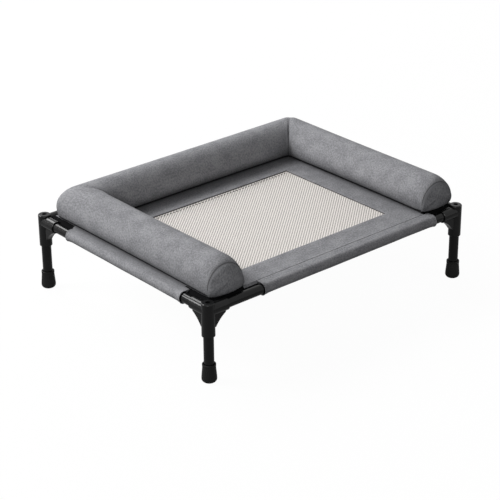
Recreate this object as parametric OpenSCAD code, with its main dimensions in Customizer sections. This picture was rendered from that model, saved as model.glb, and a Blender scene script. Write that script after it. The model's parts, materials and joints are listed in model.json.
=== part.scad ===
// Raised dog cot: steel tubes pushed into moulded three-way corner connectors, legs on rubber feet,
// a cloth sling with a mesh window carried by four sleeves, and a padded bolster round three sides.
// Millimetres. The origin is on the floor under the middle of the frame, +X to the right as seen
// from the open front, +Y to the back and +Z up.

/* [Frame] */
// Length of the frame over the corner posts, left to right
frame_l = 762; // [620:1:1000]
// Width of the frame over the corner posts, front to back
frame_w = 610; // [500:1:900]
// Height of the rail axes above the floor
rail_z = 166; // [150:1:260]
// Outer diameter of the rail and leg tubes
tube_d = 22.2; // [19:0.1:25.4]
// Wall of the rail and leg tubes
tube_wall = 1.2; // [0.8:0.1:2]
// Clearance round a tube in its socket
tube_gap = 0.15; // [0.05:0.05:0.3]

/* [Corner connectors] */
// Wall of a rail socket
socket_wall = 3; // [2:0.1:4]
// Length of a rail socket from the post axis to its mouth
socket_len = 48; // [44:1:56]
// Bevel round the mouth of a socket, outside and inside
socket_bevel = 1; // [0.4:0.1:1.5]
// Wall between the two rail sockets and the bolt well, past the radius of a socket
core_wall = 5.8; // [4:0.1:9]
// Wall of the post
post_wall = 3.2; // [2.2:0.1:4.5]
// Height of the post top above the tops of the sockets
post_rise = 3.6; // [2:0.1:8]
// Depth of the lower end of the post below the rail axes
post_drop = 59; // [54:1:66]
// Round on the top edge of the post
post_round = 2.6; // [1:0.1:4]
// Bevel on the lower edge of the post
post_bevel = 1.2; // [0.4:0.1:2]
// Roof between the leg socket and the rail sockets
leg_roof = 7; // [5:0.5:10]
// Reach of a web along its socket from the post axis
web_reach = 41; // [34:1:43]
// Depth of the web's lower end below the rail axes
web_drop = 40; // [32:1:50]
// Thickness of a web
web_t = 16; // [8:1:20]
// Hollow of the web's sloping edge
web_hollow = 3; // [0:0.5:5]

/* [Leg bolts] */
// Diameter of the bolt shank
bolt_d = 6; // [5:0.5:8]
// Diameter of the bolt head
bolt_head_d = 10; // [9:0.1:10.4]
// Height of the bolt head
bolt_head_h = 6; // [4:0.5:8]
// Width across the flats of the hexagon socket in the head
bolt_hex = 5; // [4:0.5:6]
// Depth of the hexagon socket
bolt_hex_depth = 3; // [2:0.5:3.5]
// Length of shank that is screwed into the leg insert
bolt_grip = 16; // [10:1:18]
// Diameter of the well in the post top
well_d = 11; // [10.6:0.1:13]
// Depth of the well
well_depth = 22; // [18:1:26]
// Clearance round the shank in the connector
bolt_gap = 0.3; // [0.1:0.1:0.6]
// Clearance round the shank in the insert's thread
thread_gap = 0.05; // [0.02:0.01:0.1]
// Length of a leg insert below its flange
insert_len = 20; // [19:1:30]
// Thickness of the insert's flange, which sits on the tube
insert_flange = 2; // [1:0.5:4]
// Clearance round the insert in the tube
insert_gap = 0.05; // [0.02:0.01:0.15]

/* [Feet] */
// Height of a foot
foot_h = 42.4; // [36:0.1:55]
// Wall of a foot round the tube at its rim
foot_wall = 3.6; // [2.6:0.1:5]
// How far the flare stands out past the rim
foot_flare = 1.7; // [0.6:0.1:4]
// Height of the widest place of the flare
foot_flare_z = 11; // [9:0.5:15]
// Round between the flare and the tread
foot_round = 8; // [5:0.5:8.5]
// Thickness of rubber under the tube
foot_floor = 6; // [4:0.5:9]
// Height of the collar at the top of a foot
collar_h = 5.2; // [3.5:0.1:9]
// How far the collar stands out past the wall below it
collar_step = 0.6; // [0.2:0.1:1.2]
// Round on the rim of the collar
collar_round = 1; // [0.4:0.1:1.2]
// Gap between the collar and the tube
mouth_gap = 1.2; // [0.4:0.1:1.5]
// Depth of that gap
mouth_depth = 3; // [1.5:0.5:4]
// Clearance round the tube in the foot
foot_gap = 0.1; // [0.02:0.02:0.2]
// Depth of the ring grooves in the tread
tread_depth = 1; // [0.4:0.1:2]
// Width of a ring groove, and of the rubber between two
tread_w = 2; // [1.4:0.1:2.4]

/* [Sling] */
// Thickness of the grey cloth
cloth_t = 1.2; // [0.6:0.1:2]
// Thickness of the mesh
mesh_t = 1; // [0.6:0.1:1.6]
// Height of the sling above the tops of the sockets
sling_lift = 0.05; // [0:0.05:1]
// Slack between a sleeve and its rail
sleeve_gap = 0.3; // [0.1:0.1:1]
// How far the seam that closes a sleeve lies inside the sockets
seam_gap = 1.3; // [0.6:0.1:10]
// Width of the sleeve's edge that is sewn under the border
sleeve_lap = 10; // [5:1:20]
// Gap between a post and the cut-off corner of the border
corner_gap = 6; // [4:1:40]
// Gap between the border and the sockets
edge_gap = 2; // [0.5:0.5:6]
// Rail axes to the border's bare edges between a sleeve and a socket
bare_inset = 6.5; // [0:0.5:8]
// Slit between the end of a sleeve and the bare edge beside it
sleeve_slit = 1.5; // [1:0.5:8]
// Left and right rail axes to the mesh window
border_side = 152; // [120:1:180]
// Front rail axis to the mesh window
border_front = 74; // [60:1:110]
// Back rail axis to the mesh window
border_back = 172; // [150:1:200]
// Width of mesh that is sewn under the border
mesh_lap = 12; // [6:1:20]
// Left end of the front sleeve, from the post axis
front_gap_left = 144; // [60:1:200]
// Right end of the front sleeve, from the post axis
front_gap_right = 76; // [60:1:200]
// Front ends of the side sleeves, from the post axis
side_gap_front = 77; // [60:1:160]
// Back ends of the side sleeves, from the post axis
side_gap_back = 101; // [60:1:160]
// Both ends of the back sleeve, from the post axis
back_gap = 90; // [60:1:160]

/* [Bolster] */
// Width of the bolster at its fullest
bolster_w = 100; // [70:1:110]
// Height of the bolster above the sling
bolster_h = 77; // [50:1:90]
// Height of its fullest place above the sling
bolster_belly = 27; // [15:1:30]
// How far each side tucks in under the belly
foot_tuck = 2.5; // [1:0.5:8]
// Side rail axes to the fullest place of the side bolsters
bolster_side = 3.5; // [2:0.5:30]
// Back rail axis to the fullest place of the back bolster
bolster_back = 16.5; // [4:0.5:40]
// Front rail axis to the end seams of the side bolsters
bolster_front = 15.5; // [12:0.5:60]
// How far the whole bolster sits to the right of the frame's middle
bolster_shift = 8; // [-10:1:10]
// Round shoulder between a side bolster and its end cap
shoulder = 5; // [4:0.5:18]
// How far the foot of an end cap tucks back from its seam
end_tuck = 2; // [0:0.5:12]
// Length of a side bolster behind the shoulder over which that tuck runs out
tuck_run = 30; // [20:1:60]
// Crown of an end cap
cap_crown = 8; // [1:0.5:10]
// Outer round of the two back corners, in plan
corner_round = 18; // [10:1:60]
// Inner round of the two back corners, in plan
inner_round = 8; // [3:0.5:20]
// How far the mitre seams draw the top in
seam_dip = 2; // [0:0.5:6]
// Clearance between the filling and the cover's sides
fill_gap = 0.5; // [0.2:0.1:1.5]

/* [Hidden] */
$fn = 72;

tube_r = tube_d / 2;
bore_r = tube_r + tube_gap;
socket_r = bore_r + socket_wall;
post_r = bore_r + post_wall;
axis_x = frame_l / 2 - post_r;
axis_y = frame_w / 2 - post_r;
post_top = rail_z + socket_r + post_rise;
post_bottom = rail_z - post_drop;
rail_stop = bore_r + core_wall;
leg_top = rail_z - bore_r - leg_roof;
bolt_seat = post_top - well_depth;
sling_rise = socket_r + sling_lift;
sling_top = rail_z + sling_rise;
sleeve_r = tube_r + sleeve_gap + cloth_t;
seam_inset = socket_r + seam_gap;
// The border passes the sockets at the height of the cloth's underside
edge_inset = edge_gap + sqrt(max(0, pow(socket_r, 2) - pow(sling_rise - cloth_t, 2)));
window_x = axis_x - border_side;
window_front = border_front - axis_y;
window_back = axis_y - border_back;

// Overshoot of a cut past the face that it opens
cut = 1;

black_plastic = "#1e1e20";
black_steel = "#232325";
black_rubber = "#171718";
bolt_steel = "#2b2b2d";
zinc = "#8d8f94";
grey_cloth = "#8a8c91";
cap_cloth = "#5d5e62";
beige_mesh = "#d9d1c7";
white_fibre = "#f0efec";

// Corners: name, side in X and Y, and turn of the connector, whose sockets point along +X and +Y
corners = [
    ["front_left", -1, -1, 0],
    ["front_right", 1, -1, 90],
    ["back_right", 1, 1, 180],
    ["back_left", -1, 1, 270]
];

// Sides: name, turn, half the distance between the posts, distance of the rail from the middle,
// and the bare lengths of rail from the posts to the first and the second end of the sleeve
sides = [
    ["front", 0, axis_x, axis_y, front_gap_left, front_gap_right],
    ["right", 90, axis_y, axis_x, side_gap_front, side_gap_back],
    ["back", 180, axis_x, axis_y, back_gap, back_gap],
    ["left", 270, axis_y, axis_x, side_gap_back, side_gap_front]
];

// Points of an arc in a plane
function arc(centre, radius, from, to, steps = 8) =
    [for (i = [0:steps]) let (a = from + (to - from) * i / steps) centre + radius * [cos(a), sin(a)]];

module at_corner(corner) {
    translate([corner[1] * axis_x, corner[2] * axis_y, 0]) rotate(corner[3]) children();
}

// Puts a shape that lies along X, with +Y inwards, on one side of the frame at the rail axis
module at_side(side) {
    rotate(side[1]) translate([0, -side[3], rail_z]) children();
}

// Corner connector

// Upright post with a rounded top edge and a bevelled lower edge
module post() {
    rotate_extrude() polygon(concat(
        [[0, post_bottom], [post_r - post_bevel, post_bottom], [post_r, post_bottom + post_bevel]],
        arc([post_r - post_round, post_top - post_round], post_round, 0, 90),
        [[0, post_top]]
    ));
}

// Socket along +X with a bevelled mouth
module socket() {
    translate([0, 0, rail_z]) rotate([0, 90, 0]) rotate_extrude() polygon([
        [0, 0], [socket_r, 0], [socket_r, socket_len - socket_bevel],
        [socket_r - socket_bevel, socket_len], [0, socket_len]
    ]);
}

// Bracing web under a socket, with a hollow sloping edge
module web() {
    upper = [web_reach, rail_z - socket_r];
    lower = [post_r, rail_z - web_drop];
    middle = (upper + lower) / 2 + web_hollow * [-1, 1];
    slope = [for (i = [0:8]) let (t = i / 8)
        (1 - t) * (1 - t) * upper + 2 * t * (1 - t) * middle + t * t * lower];
    rotate([90, 0, 0]) linear_extrude(web_t, center = true) polygon(concat(
        [[0, rail_z], [web_reach, rail_z]], slope, [[0, rail_z - web_drop]]
    ));
}

// Bore of a rail socket, up to its stop, with a bevelled mouth
module socket_bore() {
    translate([rail_stop, 0, rail_z]) rotate([0, 90, 0]) cylinder(r = bore_r, h = socket_len);
    translate([socket_len - socket_bevel, 0, rail_z]) rotate([0, 90, 0])
        cylinder(r1 = bore_r, r2 = bore_r + 2 * socket_bevel, h = 2 * socket_bevel);
}

module corner_connector(corner) {
    color(black_plastic) at_corner(corner) difference() {
        union() {
            post();
            for (turn = [0, 90]) rotate(turn) {
                socket();
                web();
            }
        }
        for (turn = [0, 90]) rotate(turn) socket_bore();
        translate([0, 0, post_bottom - cut]) cylinder(r = bore_r, h = leg_top - post_bottom + cut);
        translate([0, 0, leg_top - cut]) cylinder(r = bolt_d / 2 + bolt_gap, h = bolt_seat - leg_top + 2 * cut);
        translate([0, 0, bolt_seat]) cylinder(r = well_d / 2, h = well_depth + cut);
    }
}

// Tubes

module tube(length) {
    difference() {
        cylinder(r = tube_r, h = length);
        translate([0, 0, -cut]) cylinder(r = tube_r - tube_wall, h = length + 2 * cut);
    }
}

module rail(side) {
    half = side[2] - rail_stop;
    color(black_steel) at_side(side) translate([-half, 0, 0]) rotate([0, 90, 0]) tube(2 * half);
}

module leg(corner) {
    color(black_steel) at_corner(corner)
        translate([0, 0, foot_floor]) tube(leg_top - insert_flange - foot_floor);
}

// Rubber foot with a flared tread, a collar and a gap round the tube at its mouth
module foot(corner) {
    grip_r = tube_r + foot_gap;
    rim_r = grip_r + foot_wall;
    flare_r = rim_r + foot_flare;
    grooves = floor((flare_r - foot_round - tread_w / 2) / (2 * tread_w));
    tread = [for (i = [0:grooves - 1], p = [[1, 0], [1, 1], [2, 1], [2, 0]])
        [(2 * i + p[0]) * tread_w, p[1] * tread_depth]];
    color(black_rubber) at_corner(corner) rotate_extrude() polygon(concat(
        [[0, 0]], tread,
        arc([flare_r - foot_round, foot_round], foot_round, -90, 0),
        [
            [flare_r, foot_flare_z],
            [rim_r - collar_step, foot_h - collar_h],
            [rim_r, foot_h - collar_h]
        ],
        arc([rim_r - collar_round, foot_h - collar_round], collar_round, 0, 90),
        [
            [grip_r + mouth_gap, foot_h],
            [grip_r + mouth_gap, foot_h - mouth_depth],
            [grip_r, foot_h - mouth_depth],
            [grip_r, foot_floor],
            [0, foot_floor]
        ]
    ));
}

// Socket-head bolts that draw the legs up into the posts
module leg_bolts() {
    shank = bolt_seat - leg_top + insert_flange + bolt_grip;
    color(bolt_steel) for (corner = corners) at_corner(corner) translate([0, 0, bolt_seat]) difference() {
        union() {
            translate([0, 0, -shank]) cylinder(r = bolt_d / 2, h = shank);
            cylinder(r = bolt_head_d / 2, h = bolt_head_h);
        }
        translate([0, 0, bolt_head_h - bolt_hex_depth])
            cylinder(r = bolt_hex / sqrt(3), h = bolt_hex_depth + cut, $fn = 6);
    }
}

// Threaded plugs in the leg tops, with a flange on the tube's end
module leg_inserts() {
    hole_r = bolt_d / 2 + thread_gap;
    plug_r = tube_r - tube_wall - insert_gap;
    color(zinc) for (corner = corners) at_corner(corner) translate([0, 0, leg_top]) rotate_extrude() polygon([
        [hole_r, 0], [tube_r, 0], [tube_r, -insert_flange], [plug_r, -insert_flange],
        [plug_r, -insert_flange - insert_len], [hole_r, -insert_flange - insert_len]
    ]);
}

// Sling

// Grey border with its corners cut out round the posts and sockets, cut back to the seams along the
// sleeves, and with the mesh window in it
module sling_border() {
    x = axis_x - bare_inset;
    y = axis_y - bare_inset;
    color(grey_cloth) translate([0, 0, sling_top - cloth_t]) linear_extrude(cloth_t) difference() {
        square([2 * x, 2 * y], center = true);
        for (corner = corners) translate([corner[1] * axis_x, corner[2] * axis_y]) rotate(corner[3]) {
            circle(r = post_r + corner_gap);
            translate([-cut, -cut]) square([socket_len + edge_gap + cut, edge_inset + cut]);
            translate([-cut, -cut]) square([edge_inset + cut, socket_len + edge_gap + cut]);
        }
        for (side = sides) rotate(side[1]) translate([side[4] - side[2] - sleeve_slit, -side[3]])
            square([2 * side[2] - side[4] - side[5] + 2 * sleeve_slit, seam_inset]);
        translate([-window_x, window_front]) square([2 * window_x, window_back - window_front]);
    }
}

// Mesh, sewn under the edge of the window
module mesh_panel() {
    color(beige_mesh) translate([-window_x - mesh_lap, window_front - mesh_lap, sling_top - cloth_t - mesh_t])
        cube([2 * (window_x + mesh_lap), window_back - window_front + 2 * mesh_lap, mesh_t]);
}

// Section of a sleeve about the rail axis, with +X inwards: the cloth slopes from the seam onto the
// rail, goes round it, comes back up to the seam and is sewn under the border
module sleeve_section() {
    inner_r = sleeve_r - cloth_t;
    under_z = sling_rise - cloth_t;
    lap_z = under_z - cloth_t;
    upper_seam = [seam_inset, sling_rise];
    lower_seam = [seam_inset, lap_z];
    upper_angle = atan2(upper_seam[1], upper_seam[0]) + acos(sleeve_r / norm(upper_seam));
    lower_angle = atan2(lower_seam[1], lower_seam[0]) - acos(sleeve_r / norm(lower_seam));
    upper = [cos(upper_angle), sin(upper_angle)];
    lower = [cos(lower_angle), sin(lower_angle)];
    hollow_angle = (upper_angle + lower_angle) / 2;
    hollow_reach = inner_r / cos((upper_angle - lower_angle) / 2);
    hollow = hollow_reach * [cos(hollow_angle), sin(hollow_angle)];
    difference() {
        union() {
            circle(r = sleeve_r);
            polygon([
                [0, 0], sleeve_r * lower, lower_seam, [seam_inset + sleeve_lap, lap_z],
                [seam_inset + sleeve_lap, under_z], [seam_inset, under_z], upper_seam, sleeve_r * upper
            ]);
        }
        circle(r = inner_r);
        polygon([[0, 0], inner_r * lower, hollow, inner_r * upper]);
    }
}

module sleeve(side) {
    color(grey_cloth) at_side(side) translate([side[4] - side[2], 0, 0]) rotate([90, 0, 90])
        linear_extrude(2 * side[2] - side[4] - side[5]) sleeve_section();
}

// Bolster

// Outline of the bolster's cross-section, from -1 at the inner side to 1 at the outer side and from
// 0 at the sling to 1 at the top: foot, belly, round top, belly, foot and flat base
function bolster_outline() =
    let (
        belly = bolster_belly / bolster_h,
        tuck_angle = acos(1 - 2 * foot_tuck / bolster_w),
        tuck_h = belly / sin(tuck_angle)
    )
    concat(
        [for (i = [2:-1:1]) let (a = tuck_angle * i / 2) [cos(a), belly - tuck_h * sin(a)]],
        [for (i = [0:14]) let (a = 180 * i / 14) [cos(a), belly + (1 - belly) * sin(a)]],
        [for (i = [1:2]) let (a = tuck_angle * i / 2) [-cos(a), belly - tuck_h * sin(a)]],
        [for (i = [1:3]) [cos(tuck_angle) * (i / 2 - 1), 0]]
    );

outline = bolster_outline();
outline_n = len(outline);

// Lines of the bolster in plan, about its own middle
side_outer = axis_x - bolster_side;
side_inner = side_outer - bolster_w;
back_outer = axis_y - bolster_back;
back_inner = back_outer - bolster_w;
pivot_x = side_inner - inner_round;
pivot_y = back_inner - inner_round;
reach = inner_round + bolster_w;
front_seam = bolster_front - axis_y;
plain_steps = 3;
// Share of the way behind an end seam by which the tuck there grows less
tuck_slope = 0.4;
// Share of the shoulder's depth by which the foot of an end is lifted
end_lift = 0.4;
// Exponent of a cap's crown: the higher, the fuller it is near its seam
crown_power = 3;

// Distance from a corner's pivot to the rounded outer edge, at an angle from the straight's own normal
function corner_reach(angle) =
    let (
        centre = reach - corner_round,
        along = centre * (cos(angle) + sin(angle))
    )
    reach * tan(angle) <= centre
        ? reach / cos(angle)
        : along + sqrt(along * along - 2 * centre * centre + corner_round * corner_round);

// A station of the bolster: pivot, direction outwards, inner and outer distance from the pivot, height of
// the top and of the base above the sling, and how far its foot is tucked back
function end_stations() = [for (turn = [90, 60, 30, 0])
    let (
        inset = shoulder * (1 - cos(turn)),
        behind = shoulder * (1 - sin(turn))
    )
    [
        [-pivot_x, front_seam + behind], 180,
        inner_round + inset, reach - inset, bolster_h - inset, end_lift * inset,
        max(0, end_tuck - tuck_slope * behind)
    ]];

function plain_stations(from, to, direction, steps) = [for (i = [0:steps - 1])
    [from + (to - from) * i / steps, direction, inner_round, reach, bolster_h, 0, 0]];

function corner_stations() = [for (i = [0:6])
    let (turn = 7.5 * i)
    [
        [-pivot_x, pivot_y], 180 - turn, inner_round, corner_reach(turn),
        bolster_h - seam_dip * pow(i / 6, 3), 0, 0
    ]];

function left_stations() = concat(
    end_stations(),
    plain_stations([-pivot_x, front_seam + shoulder + tuck_run], [-pivot_x, pivot_y], 180, plain_steps),
    corner_stations()
);

// The back runs from its left mitre to its right one, with the left half mirrored
function back_half() = [for (s = corner_stations()) [s[0], 270 - s[1], s[2], s[3], s[4], s[5], s[6]]];

function mirrored(stations) = [for (i = [len(stations) - 1:-1:0])
    let (s = stations[i])
    [[-s[0][0], s[0][1]], 180 - s[1], s[2], s[3], s[4], s[5], s[6]]];

function back_stations() = concat(
    [for (i = [6:-1:0]) back_half()[i]],
    [[[0, pivot_y], 90, inner_round, reach, bolster_h, 0, 0]],
    mirrored([for (i = [6:-1:0]) back_half()[i]])
);

// Ring of points at a station, drawn in by an inset at the sides and top and lifted at the base
function ring(s, inset = 0, lift = 0) = [for (p = outline)
    let (
        inner = s[2] + inset,
        outer = s[3] - inset,
        out = inner + (p[0] + 1) / 2 * (outer - inner),
        base = s[5] + lift,
        below = max(0, 1 - p[1] * bolster_h / bolster_belly)
    )
    [
        s[0][0] + out * cos(s[1]),
        s[0][1] + out * sin(s[1]) + s[6] * below * below,
        sling_top + base + p[1] * (s[4] - inset - base)
    ]];

// Middle of a station
function middle_of(s) = [
    s[0][0] + (s[2] + s[3]) / 2 * cos(s[1]),
    s[0][1] + (s[2] + s[3]) / 2 * sin(s[1]),
    sling_top + (s[4] + s[5]) / 2
];

// A ring shrunk towards a middle and moved along Y
function shrunk(points, middle, share, move) =
    [for (p = points) middle + share * (p - middle) + [0, move, 0]];

// The items of several lists in one list
function flat(lists) = [for (list = lists, item = list) item];

// Triangles that join ring first to ring second
function band(first, second) = flat([for (k = [0:outline_n - 1])
    let (
        next = (k + 1) % outline_n,
        a = first * outline_n + k,
        b = first * outline_n + next,
        c = second * outline_n + k,
        d = second * outline_n + next
    )
    [[a, b, c], [b, d, c]]]);

// Triangles of a wall of count rings from ring first on, or of its inside when flipped
function wall(first, count, flipped = false) = flat([for (i = [first:first + count - 2])
    flipped ? band(i + 1, i) : band(i, i + 1)]);

// Triangles from a ring to a point in its middle
function fan(first, point, flipped = false) = [for (k = [0:outline_n - 1])
    let (
        a = first * outline_n + k,
        b = first * outline_n + (k + 1) % outline_n
    )
    flipped ? [a, point, b] : [a, b, point]];

// Sewn cover, open at both ends: outer wall, inner wall and the cut edges of the cloth
module cover(stations) {
    n = len(stations);
    outer = [for (s = stations) ring(s)];
    inner = [for (s = stations) ring(s, cloth_t, cloth_t)];
    polyhedron(
        points = flat(concat(outer, inner)),
        faces = concat(wall(0, n), wall(n, n, true), band(n, 0), band(n - 1, 2 * n - 1))
    );
}

// Filling, closed at both ends, standing on the cover's base and clear of its sides
module filling(stations) {
    n = len(stations);
    rings = [for (s = stations) ring(s, cloth_t + fill_gap, cloth_t)];
    polyhedron(
        points = concat(flat(rings), [middle_of(stations[0]), middle_of(stations[n - 1])]),
        faces = concat(wall(0, n), fan(0, n * outline_n, true), fan(n - 1, n * outline_n + 1))
    );
}

// Crowned end cap, sewn to the front edge of a side cover
module cap() {
    rim = end_stations()[0];
    middle = middle_of(rim);
    shares = [1, 0.8, 0.5, 0.2];
    n = len(shares);
    back = [for (share = shares)
        shrunk(ring(rim), middle, share, -cap_crown * (1 - pow(share, crown_power)))];
    front = [for (points = back) [for (p = points) p - [0, cloth_t, 0]]];
    tip = middle - [0, cap_crown, 0];
    polyhedron(
        points = concat(flat(concat(front, back)), [tip - [0, cloth_t, 0], tip]),
        faces = concat(
            wall(0, n, true),
            wall(n, n),
            fan(n - 1, 2 * n * outline_n, true),
            fan(2 * n - 1, 2 * n * outline_n + 1),
            band(0, n)
        )
    );
}

// Puts a left-hand bolster piece in its place, mirrored for the right
module at_bolster(right = false) {
    translate([bolster_shift, 0, 0]) mirror([right ? 1 : 0, 0, 0]) children();
}

module bolster_cover_left() { color(grey_cloth) at_bolster() cover(left_stations()); }
module bolster_cover_right() { color(grey_cloth) at_bolster(true) cover(left_stations()); }
module bolster_cover_back() { color(grey_cloth) at_bolster() cover(back_stations()); }
module bolster_cap_left() { color(cap_cloth) at_bolster() cap(); }
module bolster_cap_right() { color(cap_cloth) at_bolster(true) cap(); }
module bolster_fill_left() { color(white_fibre) at_bolster() filling(left_stations()); }
module bolster_fill_right() { color(white_fibre) at_bolster(true) filling(left_stations()); }
module bolster_fill_back() { color(white_fibre) at_bolster() filling(back_stations()); }

for (corner = corners) {
    corner_connector(corner);
    leg(corner);
    foot(corner);
}
for (side = sides) {
    rail(side);
    sleeve(side);
}
leg_bolts();
leg_inserts();
sling_border();
mesh_panel();
bolster_cover_left();
bolster_cover_back();
bolster_cover_right();
bolster_cap_left();
bolster_cap_right();
bolster_fill_left();
bolster_fill_back();
bolster_fill_right();
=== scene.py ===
import json
import math
import bpy
from mathutils import Matrix, Vector, noise
from mathutils.bvhtree import BVHTree

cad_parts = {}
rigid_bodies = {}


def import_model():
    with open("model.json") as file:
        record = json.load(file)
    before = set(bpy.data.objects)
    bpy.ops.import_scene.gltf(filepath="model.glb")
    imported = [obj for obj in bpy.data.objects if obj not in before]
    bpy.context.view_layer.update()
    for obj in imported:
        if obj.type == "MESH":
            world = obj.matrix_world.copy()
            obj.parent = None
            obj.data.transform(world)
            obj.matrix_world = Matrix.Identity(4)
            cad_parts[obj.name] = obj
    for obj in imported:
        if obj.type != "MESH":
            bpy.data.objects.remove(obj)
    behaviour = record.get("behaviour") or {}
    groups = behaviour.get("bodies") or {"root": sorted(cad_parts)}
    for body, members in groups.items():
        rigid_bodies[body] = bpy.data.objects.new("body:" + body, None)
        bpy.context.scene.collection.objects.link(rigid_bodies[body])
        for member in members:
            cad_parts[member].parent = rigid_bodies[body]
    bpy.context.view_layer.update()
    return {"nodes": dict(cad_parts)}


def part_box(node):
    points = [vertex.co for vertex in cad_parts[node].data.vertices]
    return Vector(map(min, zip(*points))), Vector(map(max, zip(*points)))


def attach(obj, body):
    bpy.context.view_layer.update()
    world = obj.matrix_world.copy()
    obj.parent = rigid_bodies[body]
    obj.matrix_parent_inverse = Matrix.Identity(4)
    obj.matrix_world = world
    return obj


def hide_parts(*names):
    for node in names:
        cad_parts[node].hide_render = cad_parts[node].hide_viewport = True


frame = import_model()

scene = bpy.context.scene
nodes = frame["nodes"]
print("frame loaded:", len(nodes), "nodes")


# camera, at the angle of the photograph

cameraSetup = {
    "place": (-2.2960, -2.6707, 1.7714),
    "azimuth": -40.644,
    "elevation": 25.644,
    "roll": -0.4415,
    "lens": 122.4,
    "sensor": 36.0,
}


def makeCamera(values):
    data = bpy.data.cameras.new("camera")
    data.lens = values["lens"]
    data.sensor_width = values["sensor"]
    camera = bpy.data.objects.new("camera", data)
    scene.collection.objects.link(camera)
    turn = Matrix.Rotation(math.radians(values["azimuth"]), 4, "Z")
    tilt = Matrix.Rotation(math.radians(90.0 - values["elevation"]), 4, "X")
    roll = Matrix.Rotation(math.radians(values["roll"]), 4, "Z")
    camera.matrix_world = Matrix.Translation(values["place"]) @ turn @ tilt @ roll
    scene.camera = camera


makeCamera(cameraSetup)
scene.view_settings.view_transform = "Standard"
print("camera placed")


# shader sockets and nodes

class Wire:
    # one socket; arithmetic on it adds Math nodes
    def __init__(self, socket):
        self.socket = socket

    def math(self, operation, first, second=0.0):
        tree = self.socket.id_data
        node = tree.nodes.new("ShaderNodeMath")
        node.operation = operation
        for slot, value in zip(node.inputs, (first, second)):
            if isinstance(value, Wire):
                tree.links.new(value.socket, slot)
            else:
                slot.default_value = value
        return Wire(node.outputs[0])

    def __add__(self, other):
        return self.math("ADD", self, other)

    def __radd__(self, other):
        return self.math("ADD", other, self)

    def __sub__(self, other):
        return self.math("SUBTRACT", self, other)

    def __mul__(self, other):
        return self.math("MULTIPLY", self, other)

    def __rmul__(self, other):
        return self.math("MULTIPLY", other, self)

    def wave(self):
        return self.math("SINE", self * (2.0 * math.pi))

    def largest(self, other):
        return self.math("MAXIMUM", self, other)

    def beside(self, name):
        # another output of the same node
        return Wire(self.socket.node.outputs[name])


class Finish:
    # a node tree, and the one method that adds a node to it
    def __init__(self, owner):
        owner.use_nodes = True
        self.owner = owner
        self.tree = owner.node_tree
        self.tree.nodes.clear()

    def node(self, kind, settings=None, sockets=None, out=0):
        node = self.tree.nodes.new("ShaderNode" + kind)
        for key, value in (settings or {}).items():
            if key == "stops":
                ramp = node.color_ramp.elements
                while len(ramp) < len(value):
                    ramp.new(0.5)
                for stop, (position, shade) in zip(ramp, value):
                    stop.position = position
                    stop.color = (shade, shade, shade, 1.0)
            else:
                setattr(node, key, value)
        for key, value in (sockets or {}).items():
            if isinstance(value, Wire):
                self.tree.links.new(value.socket, node.inputs[key])
            else:
                node.inputs[key].default_value = value
        return None if out is None else Wire(node.outputs[out])

    def colourMix(self, factor, first, second):
        # inputs 6 and 7 are the colours of a colour Mix, output 2 its result
        return self.node("Mix", {"data_type": "RGBA"}, {0: factor, 6: first, 7: second}, 2)

    def surface(self, sockets):
        shader = self.node("BsdfPrincipled", None, sockets)
        self.node("OutputMaterial", None, {"Surface": shader}, None)
        return self.owner


# floor, world and lamps

studio = {
    "floorSize": 30.0,
    "floorGrey": 0.22,       # what the floor throws back at the object
    "floorWhite": 0.98,      # what the camera sees of it
    "floorGlow": 0.97,       # share of the camera's floor that no shadow reaches
    "floorShine": 0.3,       # share of it that the black parts mirror
    "worldLevel": 0.095,
    "worldShine": 1.0,       # and of the white above
    "lampFar": 6.0,
    "lampSize": 2.4,
    "lampAim": (0.0, 0.0, 0.18),
    "unmirrored": ("sideLamp",),      # the post tops face it
    "lamps": {               # azimuth, elevation, power
        "keyLamp": (138.0, 40.0, 256.0),
        "backLamp": (90.0, 40.0, 149.0),
        "sideLamp": (45.0, 22.0, 96.0),
        "fillLamp": (225.0, 30.0, 81.0),
    },
}


def seenShare(finish, shine):
    # 1 for what the camera sees, a share for what is mirrored, 0 for light on its way
    rays = finish.node("LightPath")
    glossy = rays.beside("Is Glossy Ray")
    through = rays.beside("Is Transmission Ray")
    return rays.largest(through).largest(glossy * shine)


def makeFloor(values):
    bpy.ops.object.select_all(action="DESELECT")
    bpy.ops.mesh.primitive_plane_add(size=values["floorSize"], location=(0.0, 0.0, 0.0))
    floor = bpy.context.object
    floor.name = "floor"
    finish = Finish(bpy.data.materials.new("floorWhite"))
    seen = seenShare(finish, values["floorShine"])
    grey = values["floorGrey"]
    white = values["floorWhite"]
    bounce = finish.node("BsdfDiffuse", None, {"Color": (grey, grey, grey, 1.0)})
    lit = finish.node("BsdfDiffuse", None, {"Color": (white, white, white, 1.0)})
    glow = finish.node("Emission", None, {"Color": (1.0, 1.0, 1.0, 1.0), "Strength": 1.0})
    view = finish.node("MixShader", None, {0: values["floorGlow"], 1: lit, 2: glow})
    both = finish.node("MixShader", None, {0: seen, 1: bounce, 2: view})
    finish.node("OutputMaterial", None, {"Surface": both}, None)
    floor.data.materials.append(finish.owner)


def makeWorld(values):
    world = bpy.data.worlds.new("studio")
    scene.world = world
    finish = Finish(world)
    seen = seenShare(finish, values["worldShine"])
    strength = seen.largest(values["worldLevel"])
    sky = finish.node("Background", None, {"Color": (1.0, 1.0, 1.0, 1.0), "Strength": strength})
    finish.node("OutputWorld", None, {"Surface": sky}, None)


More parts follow.
